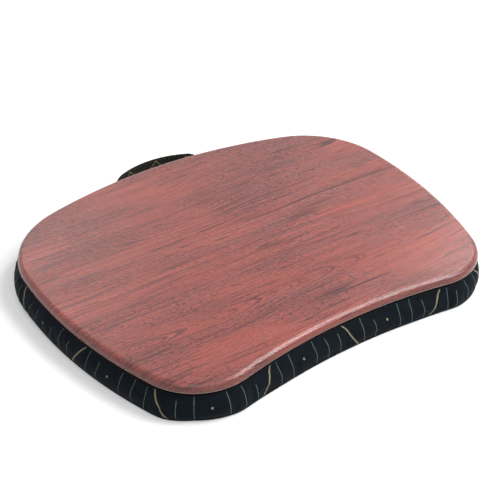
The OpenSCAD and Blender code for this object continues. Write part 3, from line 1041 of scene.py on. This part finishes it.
# Kraft backing paper: matt, pale brown, with short fibres
def paperMaterial():
    material, tree = newMaterial("paperKraftBacking")
    place = addNode(tree, "ShaderNodeTexCoord")
    fibreMap = addNode(tree, "ShaderNodeMapping", {"Scale": (260.0, 900.0, 260.0)},
                       {"Vector": place.outputs["Object"]})
    fibres = addNode(tree, "ShaderNodeTexNoise", {"Scale": 1.0, "Detail": 3.0, "Roughness": 0.7},
                     {"Vector": fibreMap})
    tone = addNode(tree, "ShaderNodeValToRGB", {}, {"Fac": fibres})
    tone.color_ramp.elements[0].color = linearColour(layers["paperDark"])
    tone.color_ramp.elements[1].color = linearColour(layers["paperPale"])
    bump = addNode(tree, "ShaderNodeBump", {"Strength": 0.3, "Distance": 0.0001}, {"Height": fibres})
    shader = addNode(tree, "ShaderNodeBsdfPrincipled", {"Roughness": 0.85},
                     {"Base Color": tone, "Normal": bump})
    addNode(tree, "ShaderNodeOutputMaterial", {}, {"Surface": shader})
    return material


# Nylon hook and loop tape: black, napped, with a dotted pile
def tapeMaterial(name, tape):
    material, tree = newMaterial(name)
    place = addNode(tree, "ShaderNodeTexCoord")
    pile = addNode(tree, "ShaderNodeTexVoronoi", {"Scale": 1 / tape["pile"]},
                   {"Vector": place.outputs["Object"]})
    tone = addNode(tree, "ShaderNodeValToRGB", {}, {"Fac": pile.outputs["Distance"]})
    tone.color_ramp.elements[0].color = linearColour(tape["pale"])
    tone.color_ramp.elements[1].color = linearColour(tape["dark"])
    bump = addNode(tree, "ShaderNodeBump", {"Strength": 0.8, "Distance": 0.0004},
                   {"Height": pile.outputs["Distance"]})
    shader = addNode(tree, "ShaderNodeBsdfPrincipled", {"Roughness": 0.8, "Sheen Weight": 0.3},
                     {"Base Color": tone, "Normal": bump})
    addNode(tree, "ShaderNodeOutputMaterial", {}, {"Surface": shader})
    return material


def dressNode(node, material):
    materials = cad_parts[node].data.materials
    materials.clear()
    materials.append(material)


dressNode("board_backing", paperMaterial())
dressNode("hook_tapes", tapeMaterial("nylonHookTape", layers["hook"]))
dressNode("loop_tapes", tapeMaterial("nylonLoopTape", layers["loop"]))
print("layers dressed")


# The room: the floor's glow whitens it where it's seen, and keeps the shadow near the desk
room = {
    "floorHalf": 4.0,
    "floorDrop": 0.0003,
    "floorColour": "#e6e6e6",
    "floorLift": 0.28,  # near the desk, rising to 1 further off
    "liftFrom": 0.4,
    "liftTo": 1.3,
    "worldLight": 0.29,
}


# 1 for what the camera sees, also in metal or glass, and 0 for light that falls on the object
def seenDirectly(tree):
    path = addNode(tree, "ShaderNodeLightPath")
    mirrored = addNode(tree, "ShaderNodeMath", {"operation": "MAXIMUM"},
                       {0: path.outputs["Is Glossy Ray"], 1: path.outputs["Is Transmission Ray"]})
    return addNode(tree, "ShaderNodeMath", {"operation": "MAXIMUM"},
                   {0: path.outputs["Is Camera Ray"], 1: mirrored})


def makeRoom():
    bm = bmesh.new()
    bmesh.ops.create_grid(bm, x_segments=8, y_segments=8, size=room["floorHalf"])
    bmesh.ops.translate(bm, verts=bm.verts, vec=(0, 0, -room["floorDrop"]))
    material, tree = newMaterial("floorMattWhite")
    place = addNode(tree, "ShaderNodeTexCoord")
    away = addNode(tree, "ShaderNodeVectorMath", {"operation": "LENGTH"}, {0: place.outputs["Object"]})
    lift = addNode(tree, "ShaderNodeMapRange",
                   {"From Min": room["liftFrom"], "From Max": room["liftTo"], "To Min": room["floorLift"]},
                   {"Value": away.outputs["Value"]})
    seen = addNode(tree, "ShaderNodeMath", {"operation": "MULTIPLY"}, {0: seenDirectly(tree), 1: lift})
    glow = addNode(tree, "ShaderNodeEmission", {}, {"Strength": seen})
    matt = addNode(tree, "ShaderNodeBsdfDiffuse", {"Color": linearColour(room["floorColour"])})
    both = addNode(tree, "ShaderNodeAddShader", {}, {0: matt, 1: glow})
    addNode(tree, "ShaderNodeOutputMaterial", {}, {"Surface": both})
    floor = finishPiece(bm, "floor", [material])

    world = bpy.data.worlds.new("room")
    scene.world = world
    world.use_nodes = True
    tree = world.node_tree
    tree.nodes.clear()
    strength = addNode(tree, "ShaderNodeMapRange", {"To Min": room["worldLight"], "To Max": 1.0},
                       {"Value": seenDirectly(tree)})
    light = addNode(tree, "ShaderNodeBackground", {"Color": (1, 1, 1, 1)}, {"Strength": strength})
    addNode(tree, "ShaderNodeOutputWorld", {}, {"Surface": light})


# Where each lamp hangs, seen from the object (azimuth from +X, elevation, metres away), its size and power
lamps = {
    "cornerBox": {"azimuth": 23, "elevation": 38, "distance": 1.9, "size": (0.30, 0.30), "power": 4.6},
    "frontBox": {"azimuth": -12, "elevation": 60, "distance": 1.9, "size": (0.9, 0.5), "power": 15},
    "lowFrontBox": {"azimuth": -44, "elevation": 46, "distance": 1.9, "size": (0.7, 0.6), "power": 18},
    "rimBox": {"azimuth": 45, "elevation": 8, "distance": 2.2, "size": (1.6, 0.3), "power": 2.5},
    "rearBox": {"azimuth": 84, "elevation": 36, "distance": 2.2, "size": (0.9, 0.6), "power": 3.8},
    "topBox": {"azimuth": 235, "elevation": 58, "distance": 1.3, "size": (0.9, 0.9), "power": 4.2},
}


def makeLamps():
    for name, lamp in lamps.items():
        data = bpy.data.lights.new(name, "AREA")
        data.shape = "RECTANGLE"
        data.size, data.size_y = lamp["size"]
        data.energy = lamp["power"]
        azimuth, elevation = math.radians(lamp["azimuth"]), math.radians(lamp["elevation"])
        way = Vector((math.cos(azimuth) * math.cos(elevation),
                      math.sin(azimuth) * math.cos(elevation),
                      math.sin(elevation)))
        item = bpy.data.objects.new(name, data)
        scene.collection.objects.link(item)
        item.location = way * lamp["distance"]
        item.rotation_mode = "QUATERNION"
        item.rotation_quaternion = way.to_track_quat("Z", "Y")


makeRoom()
makeLamps()
scene.view_settings.view_transform = "Standard"
print("room lit")
